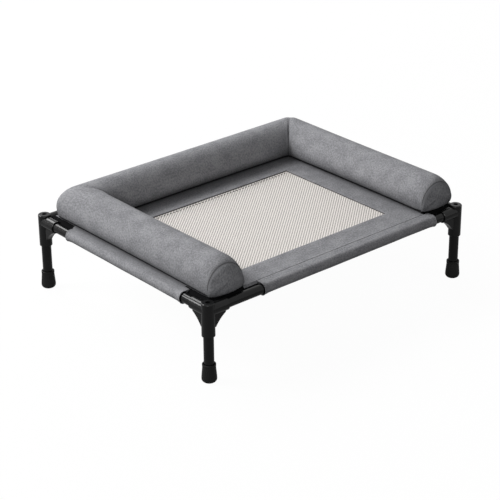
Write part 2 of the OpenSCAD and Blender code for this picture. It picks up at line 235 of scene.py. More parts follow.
def makeLamp(name, values):
    azimuth, elevation, power = values["lamps"][name]
    data = bpy.data.lights.new(name, "AREA")
    data.size = values["lampSize"]
    data.energy = power
    lamp = bpy.data.objects.new(name, data)
    scene.collection.objects.link(lamp)
    turn = math.radians(azimuth)
    rise = math.radians(elevation)
    way = Vector((math.cos(turn) * math.cos(rise), math.sin(turn) * math.cos(rise), math.sin(rise)))
    place = way * values["lampFar"]
    aim = Vector(values["lampAim"]) - place
    lamp.visible_glossy = name not in values["unmirrored"]
    lamp.matrix_world = Matrix.Translation(place) @ aim.to_track_quat("-Z", "Y").to_matrix().to_4x4()


makeFloor(studio)
makeWorld(studio)
for lampName in studio["lamps"]:
    makeLamp(lampName, studio)
print("studio made")


# finishes

clothLook = {
    "dark": (0.212, 0.213, 0.226, 1.0),
    "light": (0.364, 0.365, 0.381, 1.0),
    # base: near-black colour of the painted shadow in the crease at the foot
    "base": (0.010, 0.010, 0.0105, 1.0),
    "paintedCreaseShade": 0.12,             # painted shade: darker in the creases, by ambient occlusion
    "paintedCreaseReach": 0.052,
    "thread": 0.0011,
    "weaveDepth": 0.00022,
    "streakScale": (290.0, 220.0, 1.0),
    "blotchScale": 30.0,
    "fibreScale": 900.0,
}

meshLook = {
    "rib": (0.875, 0.833, 0.798, 1.0),
    "gap": (0.310, 0.286, 0.268, 1.0),
    "angle": 41.0,
    "pitch": 0.0053,
    "bead": 0.0047,
    "fuzzScale": 320.0,
    "coverStops": ((0.16, 0.0), (0.58, 1.0)),
    "ribDepth": 0.0003,
}

plasticLook = {
    "colour": (0.009, 0.0091, 0.0094, 1.0),
    "worn": (0.018, 0.018, 0.0185, 1.0),
    "grain": 1400.0,
    "grainDepth": 0.00003,
    "roughness": (0.10, 0.19),
    "specular": 0.22,
}

steelLook = {
    "colour": (0.008, 0.008, 0.0083, 1.0),
    "worn": (0.014, 0.014, 0.0145, 1.0),
    "grain": 900.0,
    "grainDepth": 0.00003,
    "roughness": (0.09, 0.18),
    "specular": 0.20,
}

rubberLook = {
    "colour": (0.009, 0.009, 0.009, 1.0),
    "worn": (0.022, 0.022, 0.0215, 1.0),
    "grain": 700.0,
    "grainDepth": 0.0002,
    "roughness": (0.42, 0.66),
    "specular": 0.16,
}


def shaded(colour, factor):
    return tuple(factor * part for part in colour[:3]) + (1.0,)


def makeCloth(name, values, shade=1.0):
    finish = Finish(bpy.data.materials.new(name))
    uv = finish.node("UVMap", {"uv_map": "weave"})
    stretched = finish.node("Mapping", None, {"Vector": uv, "Scale": values["streakScale"]})
    streaks = {"Vector": stretched, "Scale": 1.0, "Detail": 3.0, "Roughness": 0.65}
    streak = finish.node("TexNoise", None, streaks)
    blotches = {"Vector": uv, "Scale": values["blotchScale"], "Detail": 3.0, "Roughness": 0.5}
    blotch = finish.node("TexNoise", None, blotches)
    fibre = finish.node("TexNoise", None, {"Vector": uv, "Scale": values["fibreScale"], "Detail": 1.0})
    along = finish.node("SeparateXYZ", None, {"Vector": uv})
    warp = (along * (1.0 / values["thread"])).wave()
    weft = (along.beside("Y") * (1.0 / values["thread"])).wave()
    weave = warp * weft
    mottle = streak * 3.2 + blotch * 1.5 + fibre * 0.6 - 2.15 + weave * 0.05
    # painted shadow: where the foot attribute is set, the colour turns to the near-black base in the crease
    # at the foot
    under = finish.node("Attribute", {"attribute_name": "under"}, None, "Fac")
    # a shade below 1 gives a darker copy of the same cloth, painted shade
    dark = shaded(values["dark"], shade)
    light = shaded(values["light"], shade)
    paintedCreaseShade = shaded(dark, values["paintedCreaseShade"])
    # painted shade: ambient occlusion darkens the colour in creases, at the foot and beside the rolls
    openness = finish.node("AmbientOcclusion", {"samples": 6}, {"Distance": values["paintedCreaseReach"]}, "AO")
    woven = finish.colourMix(openness, paintedCreaseShade, finish.colourMix(mottle, dark, light))
    colour = finish.colourMix(under, woven, values["base"])
    height = weave * 0.5 + fibre * 0.8 + streak * 1.2
    bump = finish.node("Bump", None, {"Strength": 0.6, "Distance": values["weaveDepth"], "Height": height})
    return finish.surface({
        "Base Color": colour,
        "Roughness": 0.86 + 0.1 * streak,
        "Specular IOR Level": 0.06,
        "Normal": bump,
    })


def makeMeshCloth(name, values):
    finish = Finish(bpy.data.materials.new(name))
    uv = finish.node("UVMap", {"uv_map": "weave"})
    turn = (0.0, 0.0, -math.radians(values["angle"]))
    turned = finish.node("Mapping", None, {"Vector": uv, "Rotation": turn})
    along = finish.node("SeparateXYZ", None, {"Vector": turned})
    across = along.beside("Y")
    rib = (across * (1.0 / values["pitch"])).wave() * 0.5 + 0.5
    step = across.math("FLOOR", across * (1.0 / values["pitch"]) + 0.25)
    bead = (along * (1.0 / values["bead"]) + step * 0.5).wave() * 0.5 + 0.5
    fuzz = finish.node("TexNoise", None, {"Vector": uv, "Scale": values["fuzzScale"], "Detail": 3.0})
    thickness = rib * 0.68 + bead * 0.22 + fuzz * 0.9 - 0.40
    cover = finish.node("ValToRGB", {"stops": values["coverStops"]}, {"Fac": thickness})
    tone = finish.colourMix(cover * (0.72 + fuzz * 0.36), values["gap"], values["rib"])
    height = rib + bead * 0.35 + fuzz * 0.15
    bump = finish.node("Bump", None, {"Strength": 0.5, "Distance": values["ribDepth"], "Height": height})
    return finish.surface({
        "Base Color": tone,
        "Roughness": 0.55 + 0.25 * fuzz,
        "Specular IOR Level": 0.35,
        "Normal": bump,
    })


def makeThread(name, colour, specular=0.4):
    finish = Finish(bpy.data.materials.new(name))
    place = finish.node("TexCoord", None, None, "Object")
    twist = finish.node("TexNoise", None, {"Vector": place, "Scale": 2600.0, "Detail": 1.0})
    return finish.surface({
        "Base Color": finish.colourMix(twist, shaded(colour, 1.0), shaded(colour, 1.35)),
        "Roughness": 0.7 + 0.2 * twist,
        "Specular IOR Level": specular,
    })


def makeBlack(name, values):
    finish = Finish(bpy.data.materials.new(name))
    place = finish.node("TexCoord", None, None, "Object")
    grain = finish.node("TexNoise", None, {"Vector": place, "Scale": values["grain"], "Detail": 2.0})
    cloud = finish.node("TexNoise", None, {"Vector": place, "Scale": 38.0, "Detail": 3.0, "Roughness": 0.6})
    scuff = finish.node("ValToRGB", {"stops": ((0.52, 0.0), (0.78, 1.0))}, {"Fac": cloud})
    tone = finish.colourMix(scuff * 0.55 + grain * 0.2, values["colour"], values["worn"])
    bump = finish.node("Bump", None, {"Strength": 0.35, "Distance": values["grainDepth"], "Height": grain})
    smooth, rough = values["roughness"]
    return finish.surface({
        "Base Color": tone,
        "Roughness": smooth + (rough - smooth) * (cloud * 0.7 + grain * 0.3),
        "Specular IOR Level": values["specular"],
        "Normal": bump,
    })


def makeMetal(name, colour, smooth, rough):
    finish = Finish(bpy.data.materials.new(name))
    place = finish.node("TexCoord", None, None, "Object")
    cloud = finish.node("TexNoise", None, {"Vector": place, "Scale": 240.0, "Detail": 3.0})
    return finish.surface({
        "Base Color": finish.colourMix(cloud, shaded(colour, 1.0), shaded(colour, 1.5)),
        "Metallic": 1.0,
        "Roughness": smooth + (rough - smooth) * cloud,
    })


greyCloth = makeCloth("greyCloth", clothLook)
# painted shade: the caps' cloth is a darker copy of the same cloth
capCloth = makeCloth("capCloth", clothLook, 0.96)
# the sleeves get a weaker painted crease shade
sleeveCloth = makeCloth("sleeveCloth", {**clothLook, "paintedCreaseShade": 0.85})
# painted shade: the border's cloth is a darker copy of the same cloth, with a weaker painted crease shade
borderCloth = makeCloth("borderCloth", {**clothLook, "paintedCreaseShade": 0.5}, 0.96)
meshCloth = makeMeshCloth("meshCloth", meshLook)
greyThread = makeThread("greyThread", (0.30, 0.30, 0.31))
darkThread = makeThread("darkThread", (0.045, 0.043, 0.042))
capThread = makeThread("capThread", (0.085, 0.085, 0.088))
blackTape = makeThread("blackTape", (0.007, 0.007, 0.0075), 0.01)
blackPlastic = makeBlack("blackPlastic", plasticLook)
blackSteel = makeBlack("blackSteel", steelLook)
blackRubber = makeBlack("blackRubber", rubberLook)
boltSteel = makeMetal("boltSteel", (0.07, 0.07, 0.072), 0.3, 0.45)
insertZinc = makeMetal("insertZinc", (0.45, 0.45, 0.44), 0.35, 0.5)

finishByStart = {
    "corner_connector": blackPlastic,
    "rail": blackSteel,
    "leg_bolts": boltSteel,
    "leg_inserts": insertZinc,
    "leg": blackSteel,
    "foot": blackRubber,
}

for nodeName, nodeObject in nodes.items():
    for start, finish in finishByStart.items():
        if nodeName.startswith(start):
            for slot in nodeObject.material_slots:
                slot.material = finish
            break
print("finishes made")


# helpers for the sewn pieces

def focus(piece):
    bpy.ops.object.select_all(action="DESELECT")
    piece.select_set(True)
    bpy.context.view_layer.objects.active = piece


def newPiece(name, points, faces, material):
    mesh = bpy.data.meshes.new(name)
    mesh.from_pydata(points, [], faces)
    mesh.update()
    piece = bpy.data.objects.new(name, mesh)
    scene.collection.objects.link(piece)
    if material is not None:
        mesh.materials.append(material)
    return piece


def applyAll(piece):
    focus(piece)
    for modifier in list(piece.modifiers):
        bpy.ops.object.modifier_apply(modifier=modifier.name)


def editMesh(piece, *jobs):
    # each job with its settings, on the whole mesh
    focus(piece)
    bpy.ops.object.mode_set(mode="EDIT")
    for job, settings in jobs:
        bpy.ops.mesh.select_all(action="SELECT")
        job(**settings)
    bpy.ops.object.mode_set(mode="OBJECT")


def turnOutwards(piece):
    editMesh(piece, (bpy.ops.mesh.normals_make_consistent, {"inside": False}))


def setWeave(piece, places):
    # where each vertex lies on the cloth
    layer = piece.data.uv_layers.new(name="weave")
    for loop in piece.data.loops:
        layer.data[loop.index].uv = places[loop.vertex_index]


def flatPlaces(piece):
    return [vertex.co.xy for vertex in piece.data.vertices]


def smoothFaces(piece, angle=50.0):
    focus(piece)
    bpy.ops.object.shade_smooth_by_angle(angle=math.radians(angle))


def stretchAlong(start, end, step):
    count = max(1, round(abs(end - start) / step))
    return [start + (end - start) * i / count for i in range(count)]


def surfaceOf(piece):
    points = [vertex.co.copy() for vertex in piece.data.vertices]
    return BVHTree.FromPolygons(points, [tuple(polygon.vertices) for polygon in piece.data.polygons])


# bolster: one padded roll in a U, swelled in one go, then cut apart at its seams

bolster = {
    "width": 0.100,
    "belly": 0.027,
    "tuck": 0.0025,           # the foot draws in under the belly
    "footRound": 0.0050,      # and turns under, so a dark crease is left at the sling
    "baseIn": 0.010,
    "ends": (                 # left and right; pinch is at the inner and at the outer side
        {"tuck": 0.0090, "lift": 0.0005, "crown": 0.0175, "pinch": (0.008, 0.004)},
        {"tuck": 0.0085, "lift": 0.0030, "crown": 0.0095, "pinch": (0.004, 0.008)},
    ),
    "tuckRun": 0.030,
    "cornerRound": 0.018,
    "innerRound": 0.008,
    "cornerSteps": 10,
    "shoulder": {"run": 0.034, "drop": 0.011, "turn": 60.0, "steps": 6},
    "slack": 0.0008,          # how much smaller it starts
    "capDraw": 0.0016,        # how far the stitches pull the seams in
    "mitreDraw": 0.0034,
    "outerDraw": 0.3,         # and the share of it on the outside
    "capMiddle": 0.46,
    "capCrown": 1.35,         # how full a cap is above
    "capFoot": 4.0,           # and at the foot
    "capRings": (0.16, 0.34, 0.54, 0.73, 0.88, 0.97),
    "rollPaintedShadow": 1.0,         # height of the painted shadow at the foot, in foot rounds
    "capPaintedShadow": 0.4,
    "heldBelow": 0.0003,
    "step": 0.0075,
    "topPoints": 38,
    "pressure": 6.0,
    "frames": 20,
    "farthest": 0.0035,
}


def bolsterSection(values, height):
    # across from -1 to 1, up from 0 to 1
    belly = values["belly"] / height
    halfWidth = values["width"] / 2.0
    foot = 1.0 - values["tuck"] / halfWidth
    half = foot - values["baseIn"] / halfWidth
    lip = values["footRound"] / height
    outer = []
    for i in range(5):
        turn = math.radians(90.0 * i / 4.0)
        outer.append((half + (foot - half) * math.sin(turn), lip * (1.0 - math.cos(turn))))
    for i in range(1, 5):
        share = i / 5.0
        outer.append((foot + (1.0 - foot) * math.sin(math.pi / 2.0 * share), lip + (belly - lip) * share))
    top = []
    for i in range(values["topPoints"] + 1):
        turn = math.pi * i / values["topPoints"]
        top.append((math.cos(turn), belly + (1.0 - belly) * math.sin(turn)))
    inner = [(-across, up) for across, up in reversed(outer)]
    base = [(half * (i / 4.0 - 1.0), 0.0) for i in range(1, 8)]
    return outer + top + inner + base


def cornerReach(values, reach, turn):
    middle = reach - values["cornerRound"]
    if reach * math.tan(turn) <= middle:
        return reach / math.cos(turn)
    along = middle * (math.cos(turn) + math.sin(turn))
    return along + math.sqrt(along * along - 2.0 * middle * middle + values["cornerRound"] ** 2)


def bolsterStations(values, places):
    # pivot, direction outwards, inner and outer distance, shares of the shoulder and of the foot's draw-back
    reach = values["innerRound"] + values["width"]
    inner = values["innerRound"]
    pivotX = places["sideOuter"] - reach
    pivotY = places["backOuter"] - reach
    shoulder = values["shoulder"]
    shoulderY = places["frontSeam"] + shoulder["run"]
    last = math.radians(shoulder["turn"])
    half = []
    for i in range(shoulder["steps"]):
        turn = last * (1.0 - i / shoulder["steps"])
        share = (1.0 - math.cos(turn)) / (1.0 - math.cos(last))
        behind = shoulder["run"] * (1.0 - math.sin(turn) / math.sin(last))
        half.append((-pivotX, places["frontSeam"] + behind, 180.0, inner, reach, share, 1.0))
    for y in stretchAlong(shoulderY, pivotY, values["step"]):
        left = max(0.0, 1.0 - (y - shoulderY) / values["tuckRun"])
        half.append((-pivotX, y, 180.0, inner, reach, 0.0, left))
    steps = values["cornerSteps"]
    mitre = len(half) + steps
    for i in range(2 * steps + 1):
        turn = 45.0 * i / steps
        far = cornerReach(values, reach, math.radians(min(turn, 90.0 - turn)))
        half.append((-pivotX, pivotY, 180.0 - turn, inner, far, 0.0, 0.0))
    for x in stretchAlong(-pivotX, 0.0, values["step"])[1:]:
        half.append((x, pivotY, 90.0, inner, reach, 0.0, 0.0))
    mirrored = [(-spot[0], spot[1], 180.0 - spot[2]) + spot[3:] for spot in reversed(half)]
    whole = half + [(0.0, pivotY, 90.0, inner, reach, 0.0, 0.0)] + mirrored
    return whole, mitre, len(whole) - 1 - mitre


def bolsterPlaces():
    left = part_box("bolster_cover_left")
    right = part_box("bolster_cover_right")
    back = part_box("bolster_cover_back")
    return {
        "sideOuter": (right[1].x - left[0].x) / 2.0,
        "backOuter": back[1].y,
        "frontSeam": left[0].y,
        "middle": (right[1].x + left[0].x) / 2.0,
        "base": left[0].z,
        "height": left[1].z - left[0].z,
    }


def ringPoints(values, places, section, station, isEnd, seamDraw):
    # the section at one station, drawn in at a seam and towards an open end
    x, y, angle, near, far, drawn, tuck = station
    end = values["ends"][0 if angle > 90.0 else 1]
    height = places["height"]
    draw = values["slack"] + seamDraw
    outerDraw = values["slack"] + values["outerDraw"] * seamDraw
    out = Vector((math.cos(math.radians(angle)), math.sin(math.radians(angle)), 0.0))
    pivot = Vector((x + places["middle"], y, places["base"]))
    lift = drawn * end["lift"]
    drop = drawn * values["shoulder"]["drop"]
    ring = []
    for across, up in section:
        first = near + draw + drawn * end["pinch"][0] * up
        last = far - outerDraw - drawn * end["pinch"][1] * up
        reach = first + (across + 1.0) / 2.0 * (last - first)
        back = tuck * end["tuck"] * (across * max(0.0, 1.0 - up * height / values["belly"])) ** 2
        spot = pivot + out * reach + Vector((0.0, back, lift + up * (height - drop - lift - draw)))
        if isEnd:
            spot.y += values["capDraw"]
        ring.append(spot)
    return ring, pivot + out * (near + far) / 2.0


def closeEnd(values, places, net, first, count, end, part):
    # rings of a cap from its seam to its middle, full at the foot and gently crowned above
    points = net["points"]
    rim = points[first:first + count]
    centre = sum(rim, Vector()) / count
    centre.z = places["base"] + places["height"] * values["capMiddle"]
    centre.y = places["frontSeam"]
    ring = first
    for bulge in values["capRings"]:
        start = len(points)
        for spot in rim:
            low = min(1.0, max(0.0, (centre.z - spot.z) / (centre.z - places["base"])))
            power = values["capCrown"] + (values["capFoot"] - values["capCrown"]) * low ** 1.5
            share = (1.0 - bulge ** power) ** (1.0 / power)
            moved = centre + (spot - centre) * share
            behind = spot.y - places["frontSeam"] - values["capDraw"]
            moved.y = centre.y + behind * share - end["crown"] * bulge
            points.append(moved)
            net["weave"].append((moved.x, moved.z))
        for k in range(count):
            nextK = (k + 1) % count
            net["faces"].append((ring + nextK, ring + k, start + k, start + nextK))
            net["parts"].append(part)
        ring = start
    centre.y -= end["crown"]
    points.append(centre)
    net["weave"].append((centre.x, centre.z))
    for k in range(count):
        net["faces"].append((ring + (k + 1) % count, ring + k, len(points) - 1))
        net["parts"].append(part)


def bolsterNet(values, places, section, stations, seamDraw, mitres):
    # points, faces and the sewn part of each face: left, back, right, left cap, right cap
    net = {"points": [], "weave": [], "faces": [], "parts": []}
    count = len(section)
    last = len(stations) - 1
    path = 0.0
    lastMiddle = None
    for index, station in enumerate(stations):
        draw = seamDraw.get(index, 0.0)
        ring, middle = ringPoints(values, places, section, station, index in (0, last), draw)
        path += (middle - lastMiddle).length if lastMiddle else 0.0
        lastMiddle = middle
        girth = 0.0
        for k, spot in enumerate(ring):
            girth += (spot - ring[k - 1]).length if k else 0.0
            net["weave"].append((path, girth))
        net["points"] += ring
    for i in range(last):
        for k in range(count):
            nextK = (k + 1) % count
            first = i * count
            net["faces"].append((first + k, first + nextK, first + count + nextK, first + count + k))
            net["parts"].append(sum(i >= mitre for mitre in mitres))
    closeEnd(values, places, net, 0, count, values["ends"][0], 3)
    closeEnd(values, places, net, last * count, count, values["ends"][1], 4)
    return net


def footMarks(values, places, section, points, seamDraw):
    # painted shadow: the crease at the foot is painted near-black, with a fainter painted band just above it
    # on the roll; base and seams are held
    count = len(section)
    rings = max(seamDraw) + 1
    shares = []
    pinned = []
    for index, spot in enumerate(points):
        onRoll = index < rings * count
        up = section[index % count][1] * places["height"] if onRoll else spot.z - places["base"]
        paintedShadowTop = values["footRound"] * (values["rollPaintedShadow"] if onRoll else values["capPaintedShadow"])
        shares.append(1.0 if up < paintedShadowTop else 0.2 if onRoll and up < 1.6 * paintedShadowTop else 0.0)
        if onRoll and (up < values["heldBelow"] or index // count in seamDraw):
            pinned.append(index)
    return shares, pinned


def buildBolster(values, places):
    section = bolsterSection(values, places["height"])
    stations, mitreLeft, mitreRight = bolsterStations(values, places)
    seamDraw = {
        0: 0.0,
        len(stations) - 1: 0.0,
        mitreLeft: values["mitreDraw"],
        mitreRight: values["mitreDraw"],
    }
    net = bolsterNet(values, places, section, stations, seamDraw, (mitreLeft, mitreRight))
    roll = newPiece("bolsterRoll", net["points"], net["faces"], None)
    for part in range(5):
        roll.data.materials.append(bpy.data.materials.new("cut%d" % part))
    for polygon, part in zip(roll.data.polygons, net["parts"]):
        polygon.material_index = part
    setWeave(roll, net["weave"])
    turnOutwards(roll)
    shares, pinned = footMarks(values, places, section, net["points"], seamDraw)
    # painted shadow at the foot, a share on each point
    under = roll.data.attributes.new("under", "FLOAT", "POINT")
    under.data.foreach_set("value", shares)
    held = roll.vertex_groups.new(name="held")
    held.add(pinned, 1.0, "REPLACE")
    return roll


def swell(piece, values, floorZ):
    cloth = piece.modifiers.new("cloth", "CLOTH")
    settings = cloth.settings
    settings.quality = 6
    settings.mass = 0.25
    settings.tension_stiffness = 25.0
    settings.compression_stiffness = 25.0
    settings.shear_stiffness = 12.0
    settings.bending_stiffness = 1.5
    settings.use_pressure = True
    settings.uniform_pressure_force = values["pressure"]
    settings.vertex_group_mass = "held"
    settings.pin_stiffness = 1.0
    settings.effector_weights.gravity = 0.0
    cloth.collision_settings.use_collision = False
    for tick in range(1, values["frames"] + 1):
        scene.frame_set(tick)
    graph = bpy.context.evaluated_depsgraph_get()
    moved = [v.co.copy() for v in piece.evaluated_get(graph).data.vertices]
    piece.modifiers.remove(cloth)
    scene.frame_set(1)
    most = 0.0
    for vertex, spot in zip(piece.data.vertices, moved):
        step = spot - vertex.co
        most = max(most, step.length)
        if step.length > values["farthest"]:
            step *= values["farthest"] / step.length
        vertex.co += step
        vertex.co.z = max(vertex.co.z, floorZ)
    print("swelled by up to", round(most * 1000, 2), "mm before the cap")


def cutApart(roll, materials):
    finer = roll.modifiers.new("finer", "SUBSURF")
    finer.levels = 1
    finer.render_levels = 1
    applyAll(roll)
    before = set(bpy.data.objects)
    editMesh(roll, (bpy.ops.mesh.separate, {"type": "MATERIAL"}))
    cut = [roll] + [o for o in bpy.data.objects if o not in before]
    pieces = {}
    for piece in cut:
        index = piece.data.materials[piece.data.polygons[0].material_index].name
        name = list(materials)[int(index.replace("cut", ""))]
        piece.name = name
        piece.data.name = name
        piece.vertex_groups.clear()
        piece.data.materials.clear()
        piece.data.materials.append(materials[name])
        piece.data.polygons.foreach_set("material_index", [0] * len(piece.data.polygons))
        editMesh(piece, (bpy.ops.mesh.fill_holes, {"sides": 0}))
        smoothFaces(piece, 55.0)
        pieces[name] = piece
    return pieces


bolsterParts = {
    "bolsterCoverLeft": greyCloth,
    "bolsterCoverBack": greyCloth,
    "bolsterCoverRight": greyCloth,
    "bolsterCapLeft": capCloth,
    "bolsterCapRight": capCloth,
}
rollPlaces = bolsterPlaces()
slingTop = rollPlaces["base"]
bolsterRoll = buildBolster(bolster, rollPlaces)
swell(bolsterRoll, bolster, slingTop)
bolsterPieces = cutApart(bolsterRoll, bolsterParts)
for side in ("left", "back", "right"):
    piece = bolsterPieces["bolsterCover" + side.capitalize()]
    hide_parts("bolster_cover_" + side, "bolster_fill_" + side)
    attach(piece, "root")
for side in ("left", "right"):
    piece = bolsterPieces["bolsterCap" + side.capitalize()]
    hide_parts("bolster_cap_" + side)
    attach(piece, "root")
print("bolster made")


# sling: border, mesh and sleeves

sling = {
    "cloth": 0.0012,
    "grid": 0.008,
    "hemWide": 0.013,
    "hemRise": 0.0009,
    "seamDip": 0.0009,
    "seamWide": 0.0016,
    "seamRow": 0.0022,
    "seamStep": 0.00125,      # the seam is this much farther in than the sling is above the rail axis
    "edgeDroop": 0.0067,      # the bare edges hang down behind the tubes
    "edgeWide": 0.00705,
    "edgePower": 0.87,
    "bareGap": 0.0085,        # rail axis to a bare edge
    "socketGap": 0.0110,      # rail axis to the cut-out beside a socket
    "socketEnd": 0.0486,
    "cornerGap": 0.001,
    "postRadius": 0.01445,
    "meshLap": 0.012,
    "slit": 0.0005,
    "lap": 0.010,
    "ripple": 0.00025,
}

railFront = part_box("rail_front")
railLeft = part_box("rail_left")
axisY = -(railFront[0].y + railFront[1].y) / 2.0
axisX = -(railLeft[0].x + railLeft[1].x) / 2.0
railZ = (railFront[0].z + railFront[1].z) / 2.0
sleeveR = -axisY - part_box("sleeve_front")[0].y
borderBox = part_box("sling_border")
slingRise = borderBox[1].z - railZ
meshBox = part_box("mesh_panel")
seamInset = slingRise + sling["seamStep"]
window = {
    "left": meshBox[0].x + sling["meshLap"],
    "right": meshBox[1].x - sling["meshLap"],
    "front": meshBox[0].y + sling["meshLap"],
    "back": meshBox[1].y - sling["meshLap"],
}
sleeveBoxes = {side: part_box("sleeve_" + side) for side in ("front", "right", "back", "left")}


def gridLines(marks, step):
    marks = sorted(set(round(mark, 6) for mark in marks))
    lines = []
    for start, end in zip(marks, marks[1:]):
        lines += stretchAlong(start, end, step)
    return lines + [marks[-1]]


def outsideWindow(x, y):
    # how far a point is from the window's edge, outwards
    gapX = max(window["left"] - x, x - window["right"])
    gapY = max(window["front"] - y, y - window["back"])
    if gapX > 0.0 and gapY > 0.0:
        return math.hypot(gapX, gapY)
    return max(gapX, gapY)


def borderZ(x, y, values):
    height = 0.0
    gap = outsideWindow(x, y)
    if gap < values["hemWide"]:
        share = max(0.0, gap) / values["hemWide"]
        height += values["hemRise"] * math.sin(math.pi * min(1.0, 0.35 + 0.65 * share)) ** 0.8
    seamGap = min(axisX - seamInset - abs(x), axisY - seamInset - abs(y))
    if seamGap >= 0.0:
        height -= values["seamDip"] * math.exp(-(seamGap / values["seamWide"]) ** 2)
    else:
        height -= values["edgeDroop"] * min(1.0, -seamGap / values["edgeWide"]) ** values["edgePower"]
    if seamGap > 0.004 and gap > values["hemWide"]:
        height += values["ripple"] * noise.noise(Vector((x * 22.0, y * 22.0, 3.0))) - values["ripple"]
    return slingTop + height


def clothGrid(values):
    # grid lines of the border, on every edge that it has
    edgeX = axisX - values["bareGap"]
    edgeY = axisY - values["bareGap"]
    seamX = axisX - seamInset
    seamY = axisY - seamInset
    front, back = sleeveBoxes["front"], sleeveBoxes["back"]
    left, right = sleeveBoxes["left"], sleeveBoxes["right"]
    slit = values["slit"]
    cuts = [
        (front[0].x - slit, front[1].x + slit, -1.0, -seamY),
        (back[0].x - slit, back[1].x + slit, seamY, 1.0),
        (-1.0, -seamX, left[0].y - slit, left[1].y + slit),
        (seamX, 1.0, right[0].y - slit, right[1].y + slit),
    ]
    gapX = axisX - values["socketGap"]
    gapY = axisY - values["socketGap"]
    endX = axisX - values["socketEnd"]
    endY = axisY - values["socketEnd"]
    for sideX in (-1.0, 1.0):
        for sideY in (-1.0, 1.0):
            xs = sorted((sideX * endX, sideX))
            ys = sorted((sideY * gapY, sideY))
            cuts.append((xs[0], xs[1], ys[0], ys[1]))
            xs = sorted((sideX * gapX, sideX))
            ys = sorted((sideY * endY, sideY))
            cuts.append((xs[0], xs[1], ys[0], ys[1]))
    seamRow = values["seamRow"]
    xMarks = [-edgeX, edgeX, -seamX, seamX, seamRow - seamX, seamX - seamRow, window["left"], window["right"]]
    yMarks = [-edgeY, edgeY, -seamY, seamY, seamRow - seamY, seamY - seamRow, window["front"], window["back"]]
    for share in (0.25, 0.5, 0.75, 1.0):
        xMarks += [window["left"] - share * values["hemWide"], window["right"] + share * values["hemWide"]]
        yMarks += [window["front"] - share * values["hemWide"], window["back"] + share * values["hemWide"]]
        xMarks += [-seamX - share * (edgeX - seamX), seamX + share * (edgeX - seamX)]
        yMarks += [-seamY - share * (edgeY - seamY), seamY + share * (edgeY - seamY)]
    for x0, x1, y0, y1 in cuts:
        xMarks += [x for x in (x0, x1) if abs(x) < edgeX]
        yMarks += [y for y in (y0, y1) if abs(y) < edgeY]
    return gridLines(xMarks, values["grid"]), gridLines(yMarks, values["grid"]), cuts


def layCloth(name, values, keep, lift, thickness, material):
    # a sheet on the border's own grid, where keep says so
    xs, ys, cuts = clothGrid(values)
    points = [(x, y, borderZ(x, y, values) + lift) for y in ys for x in xs]
    faces = []
    for j in range(len(ys) - 1):
        for i in range(len(xs) - 1):
            x = (xs[i] + xs[i + 1]) / 2.0
            y = (ys[j] + ys[j + 1]) / 2.0
            if not keep(x, y) or any(x0 < x < x1 and y0 < y < y1 for x0, x1, y0, y1 in cuts):
                continue
            first = j * len(xs) + i
            faces.append((first, first + 1, first + 1 + len(xs), first + len(xs)))
    piece = newPiece(name, points, faces, material)
    jobs = [(bpy.ops.mesh.delete_loose, {})]
    for sideX in (-1.0, 1.0):
        for sideY in (-1.0, 1.0):
            # the corners are cut off past the posts
            normal = Vector((sideX, sideY, 0.0)).normalized()
            inside = normal * (values["postRadius"] + values["cornerGap"])
            cut = Vector((sideX * axisX, sideY * axisY, slingTop)) - inside
            jobs.append((bpy.ops.mesh.bisect, {"plane_co": cut, "plane_no": normal, "clear_outer": True}))
    editMesh(piece, *jobs)
    setWeave(piece, flatPlaces(piece))
    thick = piece.modifiers.new("thick", "SOLIDIFY")
    thick.thickness = thickness
    thick.offset = -1.0
    applyAll(piece)
    smoothFaces(piece)
    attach(piece, "root")
    return piece


def makeBorder(values):
    def keep(x, y):
        return outsideWindow(x, y) > 0.0
    piece = layCloth("slingBorder", values, keep, 0.0, values["cloth"], borderCloth)
    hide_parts("sling_border")


binding = {
    "thick": 0.0004,
    "past": 0.0004,
    "plain": 0.018,
    "underCap": 0.027,
    "capGap": 0.004,
    "narrow": 0.0110,
    "corner": 0.092,
}


def makeBinding(sideX, sideY, values):
    # black tape over the bare edges at one corner, wide near the post and under the cap, narrow elsewhere
    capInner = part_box("bolster_cap_right")[0].x if sideX > 0.0 else -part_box("bolster_cap_left")[1].x

    def keep(x, y):
        if x * sideX < 0.0 or y * sideY < 0.0:
            return False
        gapX = axisX - abs(x)
        gapY = axisY - abs(y)
        front = values["narrow"]
        if sideY < 0.0 and abs(x) > capInner + values["capGap"]:
            front = values["underCap"]
        side = values["plain"] if gapY < values["corner"] else values["narrow"]
        if sideY > 0.0 and gapX < values["corner"]:
            front = values["plain"]
        return gapX < side or gapY < front
    name = "cornerBinding" + ("Back" if sideY > 0.0 else "Front") + ("Right" if sideX > 0.0 else "Left")
    tape = {key: sling[key] - values["past"] for key in ("bareGap", "socketGap", "socketEnd", "slit")}
    thick = sling["cloth"] + 2.0 * values["thick"]
    layCloth(name, {**sling, **tape}, keep, values["thick"], thick, blackTape)


meshPanel = {"alongStep": 0.00235, "acrossSteps": 4, "rise": 0.00055, "sink": 0.00035, "slack": 0.0002}


